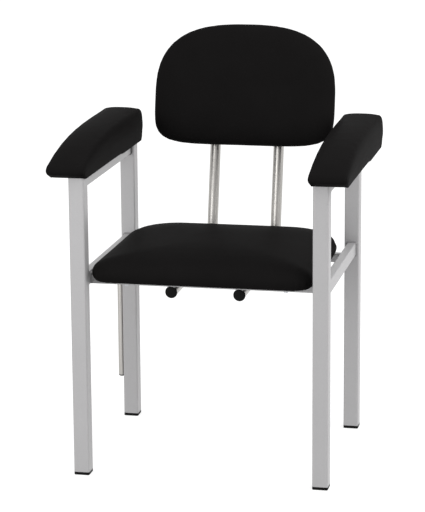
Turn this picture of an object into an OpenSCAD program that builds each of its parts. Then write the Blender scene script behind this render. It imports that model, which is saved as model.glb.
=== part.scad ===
// Phlebotomy chair: a welded frame of square tube with two tall armrests,
// a padded seat on two cross rails, and a padded back on two bent round tubes.
// Millimetres. +Z is up and the floor is at zero. The sitter faces -Y, and
// +X is at the right of someone who looks at the chair from its front.

/* [Frame] */
// Distance between the centre lines of the left and right legs
leg_span_x = 540; // [480:10:620]
// Distance between the centre lines of the front and rear legs
leg_span_y = 455; // [420:5:520]
// Height of the top of the legs, where the armrest pads lie
leg_top_z = 680; // [640:5:740]
// Side of the square leg tube
leg_w = 35; // [30:1:40]
// Wall of the leg tube
leg_wall = 2; // [1.5:0.25:3]
// Outer corner radius of the leg tube
leg_corner_r = 3.5; // [3:0.5:5]
// Thickness of the steel cap that closes the top of a leg
cap_h = 5; // [3:0.5:8]
// Width of the side rails and of the arm rails
side_rail_w = 20; // [16:1:25]
// Height of the side rails and of the arm rails
side_rail_h = 30; // [25:1:40]
// Side of the square cross rails
cross_rail_w = 20; // [16:1:25]
// Wall of all rails
rail_wall = 1.5; // [1:0.25:2.5]
// Outer corner radius of all rails
rail_corner_r = 2.5; // [2:0.5:3]
// Height of the top of the cross rails, where the seat lies
seat_support_z = 445; // [400:5:480]
// Distance from the front legs' centre line back to the front cross rail's
front_rail_inset = 66.5; // [55:0.5:90]
// Distance from the rear legs' centre line forward to the rear cross rail's
rear_rail_inset = 88.5; // [70:0.5:110]
// Gap between the plug of an arm rail and the rear leg
arm_rail_gap = 1; // [0.5:0.5:6]

/* [Plastic plugs] */
// Height of a foot below the end of its leg
foot_h = 7; // [5:0.5:12]
// Length of a foot's stem inside its leg
foot_stem_h = 22; // [15:1:35]
// Thickness of the flange of the rail and round tube plugs
plug_flange = 3; // [2:0.5:5]
// Length of the stem of those plugs
plug_stem = 15; // [10:1:25]
// Clearance around a plug's stem
plug_clearance = 0.2; // [0.1:0.05:0.4]
// Edge chamfer of the round plugs
plug_chamfer = 1; // [0.5:0.25:1.5]

/* [Back tubes] */
// Outer diameter of the bent tubes
back_tube_d = 25; // [22:0.5:30]
// Wall of the bent tubes
back_tube_wall = 1.5; // [1:0.25:2.5]
// Distance between the two tubes' centre lines
back_tube_span = 154; // [120:1:240]
// Lean of the back from upright, in degrees
back_lean = 12.4; // [5:0.2:20]
// Distance from the seat's rear edge back to the tubes' corner
back_corner_gap = 39.8; // [36:0.1:70]
// Bend radius on the tube's centre line
back_bend_r = 60; // [45:1:80]
// Height of the top end of the tubes
back_tube_top_z = 860; // [780:5:920]

/* [Back] */
// Width of the back cushion
back_w = 434; // [360:1:520]
// Height of the back cushion along the lean
back_h = 288; // [250:1:360]
// Height of its lower edge above the floor
back_bottom_z = 668; // [620:1:700]
// Depth of the back cushion with its board
back_thick = 78; // [60:1:90]
// Distance that the cushion's rear edge is drawn in
back_draw_in = 12; // [6:1:16]
// Thickness of the back board
back_board_t = 12; // [9:1:18]
// Width of the cover folded round the board's edge
back_edge_w = 12; // [6:1:18]

/* [Seat] */
// Gap between the seat cushion and the inner faces of the legs
seat_leg_gap = 3.5; // [1:0.5:12]
// Distance from the front legs' front faces back to the seat's front edge
seat_setback = 2; // [1:1:30]
// Distance from the rear legs' centre line forward to the seat's rear edge
seat_rear_inset = 4.5; // [2:0.5:40]
// Height of the seat with its board, up to the crown
seat_thick = 60; // [45:1:75]
// How much lower the seat's crown is at the sides than along its middle
seat_side_drop = 4; // [0:0.5:8]
// Corner radius of the seat at its front
seat_corner_r = 48; // [40:1:80]
// Corner radius of the seat at its rear
seat_rear_corner_r = 112; // [60:2:140]
// Distance that the seat's lower edge is drawn in
seat_draw_in = 9; // [5:1:12]
// Thickness of the seat board
seat_board_t = 15; // [12:1:18]
// Width of the cover folded round the board's edge
seat_edge_w = 7; // [5:1:14]
// Thickness of the dust covers under the seat and behind the back
dust_cover_t = 1; // [0.8:0.1:2]

/* [Armrests] */
// Width of an arm pad at its rear
arm_w_rear = 98; // [80:1:120]
// Width of an arm pad at its front
arm_w_front = 87; // [70:1:110]
// Distance from the leg's centre line out to the pad's centre line
arm_offset = 18; // [8:1:22]
// Distance that a pad's nose stands in front of the legs
arm_front_overhang = 32; // [10:1:60]
// Distance that a pad's tail stands behind the legs
arm_rear_overhang = 11; // [5:1:40]
// Height of a pad above the legs at its rear
arm_h_rear = 81; // [60:1:95]
// Height of a pad above the legs at its nose
arm_h_front = 28; // [25:1:45]
// Corner radius of a pad seen from above
arm_corner_r = 11; // [9:1:30]
// Distance that a pad's lower edge is drawn in
arm_draw_in = 3; // [3:1:7]
// Thickness of an arm board
arm_board_t = 12; // [9:1:15]
// Width of the cover folded round the board's edge
arm_edge_w = 5; // [4:1:10]

/* [Screws] */
// Diameter of the screws' shanks
screw_d = 5; // [4:0.5:6]
// Diameter of the screws' heads
screw_head_d = 9.5; // [8:0.5:12]
// Height of the screws' heads
screw_head_h = 3; // [2.5:0.5:4]
// Width across the flats of the hexagonal socket in a head
screw_socket_w = 3; // [2.5:0.5:4]
// Depth of that socket
screw_socket_h = 1.6; // [1:0.1:2]
// Length of a screw's thread in its board
screw_bite = 9; // [6:1:11]
// Clearance around a shank in a tube
screw_clearance = 0.3; // [0.2:0.1:0.8]
// Clearance around a shank in its board
screw_fit = 0.05; // [0.02:0.01:0.1]
// Distance between the two seat screws of a cross rail
seat_fixing_span = 360; // [280:10:420]
// Distance from the front leg's centre line to an arm rail's first screw
arm_fixing_front = 90; // [70:5:120]
// Distance from the rear leg's centre line to an arm rail's second screw
arm_fixing_rear = 90; // [70:5:120]
// Height of the lower back screws above the cushion's lower edge
back_fixing_low = 60; // [45:1:80]
// Distance between the lower and upper screws of a back tube
back_fixing_span = 100; // [70:1:105]

/* [Drip stand socket] */
// Outer diameter of the socket tube
socket_d = 16; // [14:0.5:20]
// Inner diameter of the socket tube
socket_bore_d = 13; // [10:0.5:13.5]
// Height of the socket tube's open top
socket_top_z = 400; // [360:5:420]
// Height of the socket tube's plugged lower end
socket_bottom_z = 100; // [80:5:200]
// Thickness of its plug's flange
socket_plug_h = 4; // [3:0.5:6]
// How much wider the socket is bored where its plug sits
socket_ream = 1.2; // [0.8:0.1:1.6]
// How far that wider bore runs past the plug's stem
socket_seat_spare = 2; // [1:0.5:5]

/* [Hidden] */
$fn = 48;

// How far a cut runs past the face that it opens
overrun = 1;
// Gap between a soft cushion and the hard pieces inside it
soft_gap = 0.3;
// Inner corner radius left in a tube whose wall is as thick as its corner
tube_inner_r = 0.5;
// How much smaller a bent tube's radius is round its bend
bend_step = 0.05;
// How far the straight lengths of a bent tube lap over its bend
bend_lap = 1.2;

frame_grey = [0.70, 0.70, 0.69];
polished = [0.78, 0.78, 0.77];
black_plastic = [0.05, 0.05, 0.05];
black_cover = [0.09, 0.09, 0.10];
dust_black = [0.12, 0.12, 0.12];
plywood = [0.76, 0.62, 0.43];
zinc = [0.62, 0.63, 0.65];

leg_x = leg_span_x / 2;
leg_y = leg_span_y / 2;
leg_front_y = -leg_y - leg_w / 2;
leg_rear_y = leg_y + leg_w / 2;
rail_bottom_z = seat_support_z - cross_rail_w;
front_rail_y = -leg_y + front_rail_inset;
rear_rail_y = leg_y - rear_rail_inset;
rail_len = leg_span_y - leg_w;
cross_rail_len = leg_span_x - side_rail_w;
arm_rail_len = rail_len - plug_flange - arm_rail_gap;
arm_rail_z = leg_top_z - side_rail_h / 2;

tube_r = back_tube_d / 2;
tube_z = rail_bottom_z - tube_r;
tube_front_y = front_rail_y - cross_rail_w / 2 + plug_flange;
corner_y = leg_y - seat_rear_inset + back_corner_gap;
bend_angle = 90 - back_lean;
bend_tangent = back_bend_r * tan(bend_angle / 2);
upright_len = (back_tube_top_z - tube_z) / cos(back_lean);
// Place of the back cushion's lower edge along the upright tubes
back_s = (back_bottom_z - tube_z - (tube_r + back_thick / 2) * sin(back_lean)) / cos(back_lean);

// The part's front is the noses of the arm pads and its rear is the top
// plugs of the back tubes. The frame moves by half the difference, so that
// the middle of the whole part is at Y zero.
part_front_y = leg_front_y - arm_front_overhang;
part_rear_y = corner_y + (upright_len + plug_flange) * sin(back_lean)
    + (tube_r - plug_chamfer) * cos(back_lean);
part_rim_y = corner_y + (upright_len + plug_flange - plug_chamfer) * sin(back_lean)
    + tube_r * cos(back_lean);
frame_y = -(part_front_y + max(part_rear_y, part_rim_y)) / 2;

socket_seat_r = (socket_bore_d + socket_ream) / 2;

seat_w = leg_span_x - leg_w - 2 * seat_leg_gap;
seat_d = leg_span_y + leg_w / 2 - seat_setback - seat_rear_inset;
seat_mid_y = leg_front_y + seat_setback + seat_d / 2;

arm_front_y = part_front_y;
arm_rear_y = leg_rear_y + arm_rear_overhang;
arm_len = arm_rear_y - arm_front_y;
arm_nose_share = arm_h_front / arm_h_rear;
// How fast an arm pad climbs from its nose to its full height
arm_rise_power = 4.1;
// Length of the bottom of an arm pad as a share of its whole length
arm_bottom_share = 0.945;

// The back's outline is two half superellipses that meet at its waist
back_waist_share = 0.4;
back_top_power = 2.7;
back_bottom_power = 5.3;
back_steps = 12;
corner_steps = 9;
side_steps = 9;

// Rings of a cushion from its lower edge over its side to its shoulder:
// how much of the draw-in is taken away, and the height
seat_ring_shares = [[1, 0], [0.4, 0.1], [0, 0.28], [0.33, 0.48], [1.3, 0.66], [3.1, 0.785]];
back_ring_shares = [[1, 0], [0.4, 0.23], [0, 0.575], [0.2, 0.71], [1, 0.84], [2.2, 0.91]];
arm_ring_shares = [[1, 0], [0.4, 0.18], [0, 0.42], [0.2, 0.68], [0.75, 0.82], [2, 0.91]];
// Rings of a cushion's crown: the part of the outline left, and the height
seat_crown_shares = [[0.94, 0.825], [0.86, 0.87], [0.72, 0.926], [0.5, 0.977], [0.3, 0.996], [0.1, 1]];
back_crown_shares = [[0.85, 0.95], [0.65, 0.975], [0.4, 0.992], [0.15, 1]];
arm_crown_shares = [[0.88, 0.94], [0.75, 0.964], [0.45, 0.993], [0.15, 1]];

// Outlines

module round_rect(w, d, r) {
    square([w - 2 * r, d], center = true);
    square([w, d - 2 * r], center = true);
    for (sx = [-1, 1], sy = [-1, 1])
        translate([sx * (w / 2 - r), sy * (d / 2 - r)]) circle(r);
}

// A quarter of a circle from the angle start, about a corner's centre
function corner(x, y, r, start) = [
    for (i = [0:corner_steps])
        let (a = start + 90 * i / corner_steps)
        [x + r * cos(a), y + r * sin(a)]
];

// Points between the ends of a straight side, without the ends
function side(from, to) = [for (i = [1:side_steps - 1]) from + (to - from) * i / side_steps];

// Points round a trapezium with round corners, whose front is at -Y. The
// points start and end beside the middle of its front.
function trapezium(w_front, w_rear, d, r_front, r_rear) =
    let (
        xf = w_front / 2 - r_front,
        xr = w_rear / 2 - r_rear,
        yf = r_front - d / 2,
        yr = d / 2 - r_rear,
        a = corner(xf, yf, r_front, -90),
        b = corner(xr, yr, r_rear, 0),
        c = corner(-xr, yr, r_rear, 90),
        e = corner(-xf, yf, r_front, 180)
    )
    concat(
        a, side([w_front / 2, yf], [w_rear / 2, yr]), b,
        c, side([-w_rear / 2, yr], [-w_front / 2, yf]), e
    );

function signed_power(v, p) = sign(v) * pow(abs(v), p);

// Points round the back's outline, drawn in by inset on every side. They
// start and end beside the middle of its lower edge.
function back_outline(inset) =
    let (
        half_w = back_w / 2 - inset,
        waist = back_h * back_waist_share,
        low = waist - inset,
        high = back_h - waist - inset
    )
    [
        for (i = [0:4 * back_steps - 1])
            let (
                a = 90 * (i + 0.5) / back_steps - 90,
                top = sin(a) > 0,
                p = 2 / (top ? back_top_power : back_bottom_power)
            )
            [half_w * signed_power(cos(a), p), waist + (top ? high : low) * signed_power(sin(a), p)]
    ];

// Solids

// A closed skin over a stack of rings with equally many points each. Both
// ends are closed by strips that run from each point to its mirror image.
module ring_stack(rings) {
    n = len(rings[0]);
    last = len(rings) - 1;
    top = last * n;
    faces = concat(
        [for (k = [0:n / 2 - 2]) [n - 1 - k, k, k + 1]],
        [for (k = [0:n / 2 - 2]) [n - 1 - k, k + 1, n - 2 - k]],
        [for (k = [0:last - 1], i = [0:n - 1]) [k * n + i, (k + 1) * n + i, (k + 1) * n + (i + 1) % n]],
        [for (k = [0:last - 1], i = [0:n - 1]) [k * n + i, (k + 1) * n + (i + 1) % n, k * n + (i + 1) % n]],
        [for (k = [0:n / 2 - 2]) [top + n - 1 - k, top + k + 1, top + k]],
        [for (k = [0:n / 2 - 2]) [top + n - 1 - k, top + n - 2 - k, top + k + 1]]
    );
    polyhedron([for (ring = rings) each ring], faces);
}

module rect_tube(w, d, length, wall, r) {
    difference() {
        linear_extrude(length) round_rect(w, d, r);
        translate([0, 0, -overrun])
            linear_extrude(length + 2 * overrun)
                round_rect(w - 2 * wall, d - 2 * wall, max(r - wall, tube_inner_r));
    }
}

// A plug's flange from zero up, with its stem below in a rectangular tube
module rect_plug(w, d, wall, r, flange, stem) {
    fit = 2 * (wall + plug_clearance);
    linear_extrude(flange) round_rect(w, d, r);
    translate([0, 0, -stem])
        linear_extrude(stem) round_rect(w - fit, d - fit, max(r - wall, tube_inner_r));
}

// The same for a round tube
module round_plug(r, bore_r, flange, stem) {
    cylinder(flange - plug_chamfer, r, r);
    translate([0, 0, flange - plug_chamfer]) cylinder(plug_chamfer, r, r - plug_chamfer);
    translate([0, 0, -stem]) cylinder(stem, bore_r - plug_clearance, bore_r - plug_clearance);
}

// A screw that points up, whose head is below zero
module screw(length) {
    cylinder(length, screw_d / 2, screw_d / 2);
    translate([0, 0, -screw_head_h])
        difference() {
            cylinder(screw_head_h, screw_head_d / 2, screw_head_d / 2);
            translate([0, 0, screw_socket_h - screw_head_h])
                cylinder(screw_head_h, screw_socket_w / sqrt(3), screw_socket_w / sqrt(3), $fn = 6);
        }
}

// Hole for a screw's shank, from zero up
module screw_hole(length, clearance) {
    translate([0, 0, -overrun])
        cylinder(length + overrun, screw_d / 2 + clearance, screw_d / 2 + clearance);
}

// Places

module in_part() {
    translate([0, frame_y, 0]) children();
}

module at_leg(side_x, side_y, z) {
    in_part() translate([side_x * leg_x, side_y * leg_y, z]) children();
}

module at_seat_screws() {
    for (sx = [-1, 1], y = [front_rail_y, rear_rail_y])
        translate([sx * seat_fixing_span / 2, y, rail_bottom_z]) children();
}

module at_arm_screws(side_x) {
    for (y = [-leg_y + arm_fixing_front, leg_y - arm_fixing_rear])
        translate([side_x * leg_x, y, leg_top_z - side_rail_h]) children();
}

// The leaning plane of the back tubes: X to the side, Y up along the lean
// from the tubes' corner, and Z forward from the tubes' centre lines
module on_back() {
    in_part() translate([0, corner_y, tube_z]) rotate([90 - back_lean, 0, 0]) children();
}

module at_back_screws(side_x) {
    for (s = [0, back_fixing_span])
        translate([side_x * back_tube_span / 2, back_s + back_fixing_low + s, -tube_r]) children();
}

// Legs, feet and caps

module leg(side_x, side_y) {
    color(frame_grey)
        at_leg(side_x, side_y, foot_h)
            rect_tube(leg_w, leg_w, leg_top_z - cap_h - foot_h, leg_wall, leg_corner_r);
}

module foot(side_x, side_y) {
    color(black_plastic)
        at_leg(side_x, side_y, foot_h)
            mirror([0, 0, 1])
                rect_plug(leg_w, leg_w, leg_wall, leg_corner_r, foot_h, foot_stem_h);
}

module leg_cap(side_x, side_y) {
    color(frame_grey)
        at_leg(side_x, side_y, leg_top_z - cap_h)
            linear_extrude(cap_h) round_rect(leg_w, leg_w, leg_corner_r);
}

module leg_front_left() leg(-1, -1);
module leg_front_right() leg(1, -1);
module leg_rear_left() leg(-1, 1);
module leg_rear_right() leg(1, 1);
module foot_front_left() foot(-1, -1);
module foot_front_right() foot(1, -1);
module foot_rear_left() foot(-1, 1);
module foot_rear_right() foot(1, 1);
module leg_cap_front_left() leg_cap(-1, -1);
module leg_cap_front_right() leg_cap(1, -1);
module leg_cap_rear_left() leg_cap(-1, 1);
module leg_cap_rear_right() leg_cap(1, 1);

// Rails

module side_rail(side_x) {
    color(frame_grey)
        in_part()
            translate([side_x * leg_x, -rail_len / 2, rail_bottom_z + side_rail_h / 2])
                rotate([-90, 0, 0])
                    rect_tube(side_rail_w, side_rail_h, rail_len, rail_wall, rail_corner_r);
}

module cross_rail(y) {
    color(frame_grey)
        in_part()
            difference() {
                translate([-cross_rail_len / 2, y, rail_bottom_z + cross_rail_w / 2])
                    rotate([0, 90, 0])
                        rect_tube(cross_rail_w, cross_rail_w, cross_rail_len, rail_wall, rail_corner_r);
                at_seat_screws() screw_hole(cross_rail_w + overrun, screw_clearance);
            }
}

// An arm rail is open at the rear, where its plug closes it
module arm_rail(side_x) {
    color(frame_grey)
        in_part()
            difference() {
                translate([side_x * leg_x, -rail_len / 2, arm_rail_z])
                    rotate([-90, 0, 0])
                        rect_tube(side_rail_w, side_rail_h, arm_rail_len, rail_wall, rail_corner_r);
                at_arm_screws(side_x) screw_hole(side_rail_h + overrun, screw_clearance);
            }
}

module arm_rail_plug(side_x) {
    color(black_plastic)
        in_part()
            translate([side_x * leg_x, -rail_len / 2 + arm_rail_len, arm_rail_z])
                rotate([-90, 0, 0])
                    rect_plug(side_rail_w, side_rail_h, rail_wall, rail_corner_r, plug_flange, plug_stem);
}

module side_rail_left() side_rail(-1);
module side_rail_right() side_rail(1);
module cross_rail_front() cross_rail(front_rail_y);
module cross_rail_rear() cross_rail(rear_rail_y);
module arm_rail_left() arm_rail(-1);
module arm_rail_right() arm_rail(1);
module arm_rail_plug_left() arm_rail_plug(-1);
module arm_rail_plug_right() arm_rail_plug(1);

// Armrests

// Height of an arm pad at a place along it, counted from its nose
function arm_height(y) =
    let (u = min(max((y - arm_front_y) / arm_len, 0), 1))
    arm_h_rear * (arm_nose_share + (1 - arm_nose_share) * (1 - pow(1 - u, arm_rise_power)));

// Outline of an arm pad seen from above, drawn in by inset at its sides,
// and shortened at its nose to a share of its length
function arm_outline(inset, long_share) = [
    for (p = trapezium(arm_w_front - 2 * inset, arm_w_rear - 2 * inset, arm_len - 2 * inset,
            arm_corner_r - inset / 2, arm_corner_r - inset / 2))
        [p[0], arm_rear_y + (p[1] - arm_len / 2) * long_share]
];

// The pad's bottom is shorter than its widest ring, which the sides share
function arm_long_share(height_share) =
    1 - (1 - arm_bottom_share) * pow(max(1 - height_share / arm_ring_shares[2][1], 0), 2);

function arm_side_ring(ring) = [
    for (p = arm_outline(ring[0] * arm_draw_in, arm_long_share(ring[1])))
        [p[0], p[1], ring[1] * arm_height(p[1])]
];

function arm_crown_ring(ring) =
    let (
        edge = arm_ring_shares[len(arm_ring_shares) - 1],
        mid_y = arm_rear_y - arm_len / 2
    )
    [
        for (p = arm_outline(edge[0] * arm_draw_in, 1))
            let (y = mid_y + (p[1] - mid_y) * (1 - (1 - ring[0]) * arm_w_rear / arm_len))
            [p[0] * ring[0], y, ring[1] * arm_height(y)]
    ];

module at_arm(side_x) {
    in_part() translate([side_x * (leg_x + arm_offset), 0, leg_top_z]) children();
}

// The board under an arm pad, and the pocket for it in the pad
module arm_board_solid(gap, height) {
    linear_extrude(height)
        polygon([
            for (p = arm_outline(arm_draw_in + arm_edge_w - gap, arm_bottom_share))
                [p[0], p[1]]
        ]);
}

module arm_board(side_x) {
    color(plywood)
        difference() {
            at_arm(side_x) arm_board_solid(0, arm_board_t);
            in_part() at_arm_screws(side_x) screw_hole(side_rail_h + screw_bite, screw_fit);
        }
}

module arm_pad(side_x) {
    rings = concat(
        [for (ring = arm_ring_shares) arm_side_ring(ring)],
        [for (ring = arm_crown_shares) arm_crown_ring(ring)]
    );
    color(black_cover)
        at_arm(side_x)
            difference() {
                ring_stack(rings);
                translate([0, 0, -overrun]) arm_board_solid(soft_gap, arm_board_t + soft_gap + overrun);
            }
}

module arm_screws() {
    color(zinc)
        in_part()
            for (side_x = [-1, 1])
                at_arm_screws(side_x) screw(side_rail_h + screw_bite);
}

module arm_board_left() arm_board(-1);
module arm_board_right() arm_board(1);
module arm_pad_left() arm_pad(-1);
module arm_pad_right() arm_pad(1);

// Back tubes

// The right bent tube as a rod of radius r, with both ends lengthened by
// extra. The straight lengths lap over the bend, which is a little thinner.
module back_rod(r, extra) {
    x = back_tube_span / 2;
    in_part() {
        translate([x, tube_front_y - extra, tube_z])
            rotate([-90, 0, 0])
                cylinder(corner_y - bend_tangent + bend_lap - tube_front_y + extra, r, r);
        translate([x, corner_y - bend_tangent, tube_z + back_bend_r])
            rotate([90, 0, 90])
                rotate([0, 0, -90])
                    rotate_extrude(angle = bend_angle) translate([back_bend_r, 0]) circle(r - bend_step);
    }
    on_back()
        translate([x, bend_tangent - bend_lap, 0])
            rotate([-90, 0, 0])
                cylinder(upright_len - bend_tangent + bend_lap + extra, r, r);
}

module back_tube() {
    color(polished)
        difference() {
            back_rod(tube_r, 0);
            back_rod(tube_r - back_tube_wall, overrun);
            on_back() at_back_screws(1) screw_hole(back_tube_d + overrun, screw_clearance);
        }
}

module back_tube_front_plugs() {
    color(black_plastic)
        in_part()
            for (side_x = [-1, 1])
                translate([side_x * back_tube_span / 2, tube_front_y, tube_z])
                    rotate([90, 0, 0])
                        round_plug(tube_r, tube_r - back_tube_wall, plug_flange, plug_stem);
}

module back_tube_top_plugs() {
    color(black_plastic)
        on_back()
            for (side_x = [-1, 1])
                translate([side_x * back_tube_span / 2, upright_len, 0])
                    rotate([-90, 0, 0])
                        round_plug(tube_r, tube_r - back_tube_wall, plug_flange, plug_stem);
}

module back_tube_left() mirror([1, 0, 0]) back_tube();
module back_tube_right() back_tube();

// Seat

function seat_outline(inset) =
    trapezium(seat_w - 2 * inset, seat_w - 2 * inset, seat_d - 2 * inset,
        seat_corner_r - inset, seat_rear_corner_r - inset);

// Height of the seat at a place across it
function seat_height(x) = seat_thick - seat_side_drop * pow(abs(x) / (seat_w / 2), 3);

module at_seat() {
    in_part() translate([0, seat_mid_y, seat_support_z]) children();
}

module seat_plate(gap, height) {
    linear_extrude(height) polygon(seat_outline(seat_draw_in + seat_edge_w - gap));
}

module seat_dust_cover() {
    color(dust_black)
        difference() {
            at_seat() seat_plate(0, dust_cover_t);
            in_part() at_seat_screws() screw_hole(cross_rail_w + dust_cover_t + overrun, screw_fit);
        }
}

module seat_board() {
    color(plywood)
        difference() {
            at_seat() translate([0, 0, dust_cover_t]) seat_plate(0, seat_board_t);
            in_part() at_seat_screws() screw_hole(cross_rail_w + dust_cover_t + screw_bite, screw_fit);
        }
}

module seat_cushion() {
    edge = seat_ring_shares[len(seat_ring_shares) - 1];
    rings = concat(
        [
            for (ring = seat_ring_shares)
                [for (p = seat_outline(ring[0] * seat_draw_in)) [p[0], p[1], ring[1] * seat_height(p[0])]]
        ],
        [
            for (ring = seat_crown_shares)
                [
                    for (p = seat_outline(edge[0] * seat_draw_in))
                        [p[0] * ring[0], p[1] * ring[0], ring[1] * seat_height(p[0] * ring[0])]
                ]
        ]
    );
    color(black_cover)
        at_seat()
            difference() {
                ring_stack(rings);
                translate([0, 0, -overrun])
                    seat_plate(soft_gap, seat_board_t + dust_cover_t + soft_gap + overrun);
            }
}

module seat_screws() {
    color(zinc) in_part() at_seat_screws() screw(cross_rail_w + dust_cover_t + screw_bite);
}

// Back

// The back's own place: Y zero at its lower edge, Z zero at the tubes' front
module at_back() {
    on_back() translate([0, back_s, tube_r]) children();
}

module back_plate(gap, height) {
    linear_extrude(height) polygon(back_outline(back_draw_in + back_edge_w - gap));
}

module back_dust_cover() {
    color(dust_black)
        difference() {
            at_back() back_plate(0, dust_cover_t);
            on_back()
                for (side_x = [-1, 1])
                    at_back_screws(side_x) screw_hole(back_tube_d + dust_cover_t + overrun, screw_fit);
        }
}

module back_board() {
    color(plywood)
        difference() {
            at_back() translate([0, 0, dust_cover_t]) back_plate(0, back_board_t);
            on_back()
                for (side_x = [-1, 1])
                    at_back_screws(side_x) screw_hole(back_tube_d + dust_cover_t + screw_bite, screw_fit);
        }
}

module back_cushion() {
    edge = back_ring_shares[len(back_ring_shares) - 1];
    mid = back_h / 2;
    rings = concat(
        [
            for (ring = back_ring_shares)
                [for (p = back_outline(ring[0] * back_draw_in)) [p[0], p[1], ring[1] * back_thick]]
        ],
        [
            for (ring = back_crown_shares)
                [
                    for (p = back_outline(edge[0] * back_draw_in))
                        [p[0] * ring[0], mid + (p[1] - mid) * ring[0], ring[1] * back_thick]
                ]
        ]
    );
    color(black_cover)
        at_back()
            difference() {
                ring_stack(rings);
                translate([0, 0, -overrun])
                    back_plate(soft_gap, back_board_t + dust_cover_t + soft_gap + overrun);
            }
}

module back_screws() {
    color(zinc)
        on_back()
            for (side_x = [-1, 1])
                at_back_screws(side_x) screw(back_tube_d + dust_cover_t + screw_bite);
}

// Drip stand socket on the outer face of the left rear leg

module at_socket(z) {
    at_leg(-1, 1, z) translate([-(leg_w + socket_d) / 2, 0, 0]) children();
}

module drip_socket_tube() {
    length = socket_top_z - socket_bottom_z;
    color(polished)
        at_socket(socket_bottom_z)
            difference() {
                cylinder(length, socket_d / 2, socket_d / 2);
                cylinder(length + overrun, socket_bore_d / 2, socket_bore_d / 2);
                translate([0, 0, -overrun])
                    cylinder(plug_stem + socket_seat_spare + overrun, socket_seat_r, socket_seat_r);
            }
}

module drip_socket_plug() {
    color(black_plastic)
        at_socket(socket_bottom_z)
            mirror([0, 0, 1])
                round_plug(socket_d / 2, socket_seat_r, socket_plug_h, plug_stem);
}

leg_front_left();
leg_front_right();
leg_rear_left();
leg_rear_right();
foot_front_left();
foot_front_right();
foot_rear_left();
foot_rear_right();
leg_cap_front_left();
leg_cap_front_right();
leg_cap_rear_left();
leg_cap_rear_right();
side_rail_left();
side_rail_right();
cross_rail_front();
cross_rail_rear();
arm_rail_left();
arm_rail_right();
arm_rail_plug_left();
arm_rail_plug_right();
arm_board_left();
arm_board_right();
arm_pad_left();
arm_pad_right();
arm_screws();
back_tube_left();
back_tube_right();
back_tube_front_plugs();
back_tube_top_plugs();
seat_board();
seat_dust_cover();
seat_cushion();
seat_screws();
back_board();
back_dust_cover();
back_cushion();
back_screws();
drip_socket_tube();
drip_socket_plug();
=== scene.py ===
import math

import bmesh
import bpy
from mathutils import Matrix, Vector, bvhtree, geometry, kdtree, noise


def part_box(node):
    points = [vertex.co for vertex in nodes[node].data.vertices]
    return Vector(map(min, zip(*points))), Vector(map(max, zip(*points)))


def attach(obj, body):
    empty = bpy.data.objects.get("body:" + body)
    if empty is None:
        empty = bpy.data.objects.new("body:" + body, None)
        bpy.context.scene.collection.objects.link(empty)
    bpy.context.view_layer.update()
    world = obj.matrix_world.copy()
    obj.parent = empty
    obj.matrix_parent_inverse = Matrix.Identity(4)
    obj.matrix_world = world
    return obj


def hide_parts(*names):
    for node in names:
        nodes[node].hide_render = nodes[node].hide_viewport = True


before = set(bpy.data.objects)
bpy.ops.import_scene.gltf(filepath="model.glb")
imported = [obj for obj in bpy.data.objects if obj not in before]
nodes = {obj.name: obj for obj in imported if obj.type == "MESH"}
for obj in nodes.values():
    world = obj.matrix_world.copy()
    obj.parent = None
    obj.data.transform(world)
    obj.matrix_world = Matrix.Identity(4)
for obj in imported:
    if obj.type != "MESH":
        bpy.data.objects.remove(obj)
scene = bpy.context.scene
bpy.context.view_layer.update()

# The chair is seen from the height of a standing person, a little from its
# right, with a long lens. The shift is what the photograph's own crop needs.
camera = bpy.data.objects.new("camera", bpy.data.cameras.new("camera"))
scene.collection.objects.link(camera)
scene.camera = camera
camera.location = (0.9984, -4.7931, 1.5866)
turn, tilt, roll = (math.radians(a) for a in (12.78, -12.29, -0.56))
camera.rotation_euler = (
    Matrix.Rotation(turn, 3, "Z") @ Matrix.Rotation(math.pi / 2 + tilt, 3, "X") @ Matrix.Rotation(roll, 3, "Z")
).to_euler()
camera.data.lens = 153.56
camera.data.sensor_width = 36
camera.data.shift_x = 0.0498
camera.data.shift_y = -0.0587
scene.view_settings.view_transform = "Standard"


# A plain white studio: a white floor that runs far back, a pale room, a soft
# lamp above the chair's right side and a wide, low one to the camera's left.
def linear(code):
    """An sRGB hex colour as the linear colour that a shader takes."""
    parts = [int(code[i : i + 2], 16) / 255 for i in (1, 3, 5)]
    return [p / 12.92 if p <= 0.04045 else ((p + 0.055) / 1.055) ** 2.4 for p in parts] + [1]


def add_node(tree, kind, inputs=None, **settings):
    """Adds a node. An input is given a plain value, or another node's output to link."""
    made = tree.nodes.new(kind)
    for name, value in settings.items():
        setattr(made, name, value)
    for name, value in (inputs or {}).items():
        if isinstance(value, bpy.types.NodeSocket):
            tree.links.new(value, made.inputs[name])
        else:
            made.inputs[name].default_value = value
    return made


world = bpy.data.worlds.new("studio")
world.use_nodes = True
scene.world = world
bm = bmesh.new()
bmesh.ops.create_grid(bm, x_segments=2, y_segments=2, size=40)
floor = bpy.data.objects.new("floor", bpy.data.meshes.new("floor"))
bm.to_mesh(floor.data)
bm.free()
scene.collection.objects.link(floor)
white_floor = bpy.data.materials.new("white_studio_floor")
white_floor.use_nodes = True
floor.data.materials.append(white_floor)

# The camera, mirrors and glass see plain white. All other light comes from a
# room that is a little darker, and off a floor that is a matt grey beneath its
# glow, so that the chair keeps its shadow there.
seen = {}
for place, tree in (("room", world.node_tree), ("floor", white_floor.node_tree)):
    tree.nodes.clear()
    path = add_node(tree, "ShaderNodeLightPath")
    direct = add_node(tree, "ShaderNodeMath",
                      {0: path.outputs["Is Camera Ray"], 1: path.outputs["Is Glossy Ray"]}, operation="ADD")
    seen[place] = add_node(tree, "ShaderNodeMath",
                           {0: direct.outputs[0], 1: path.outputs["Is Transmission Ray"]},
                           operation="ADD", use_clamp=True).outputs[0]

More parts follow.
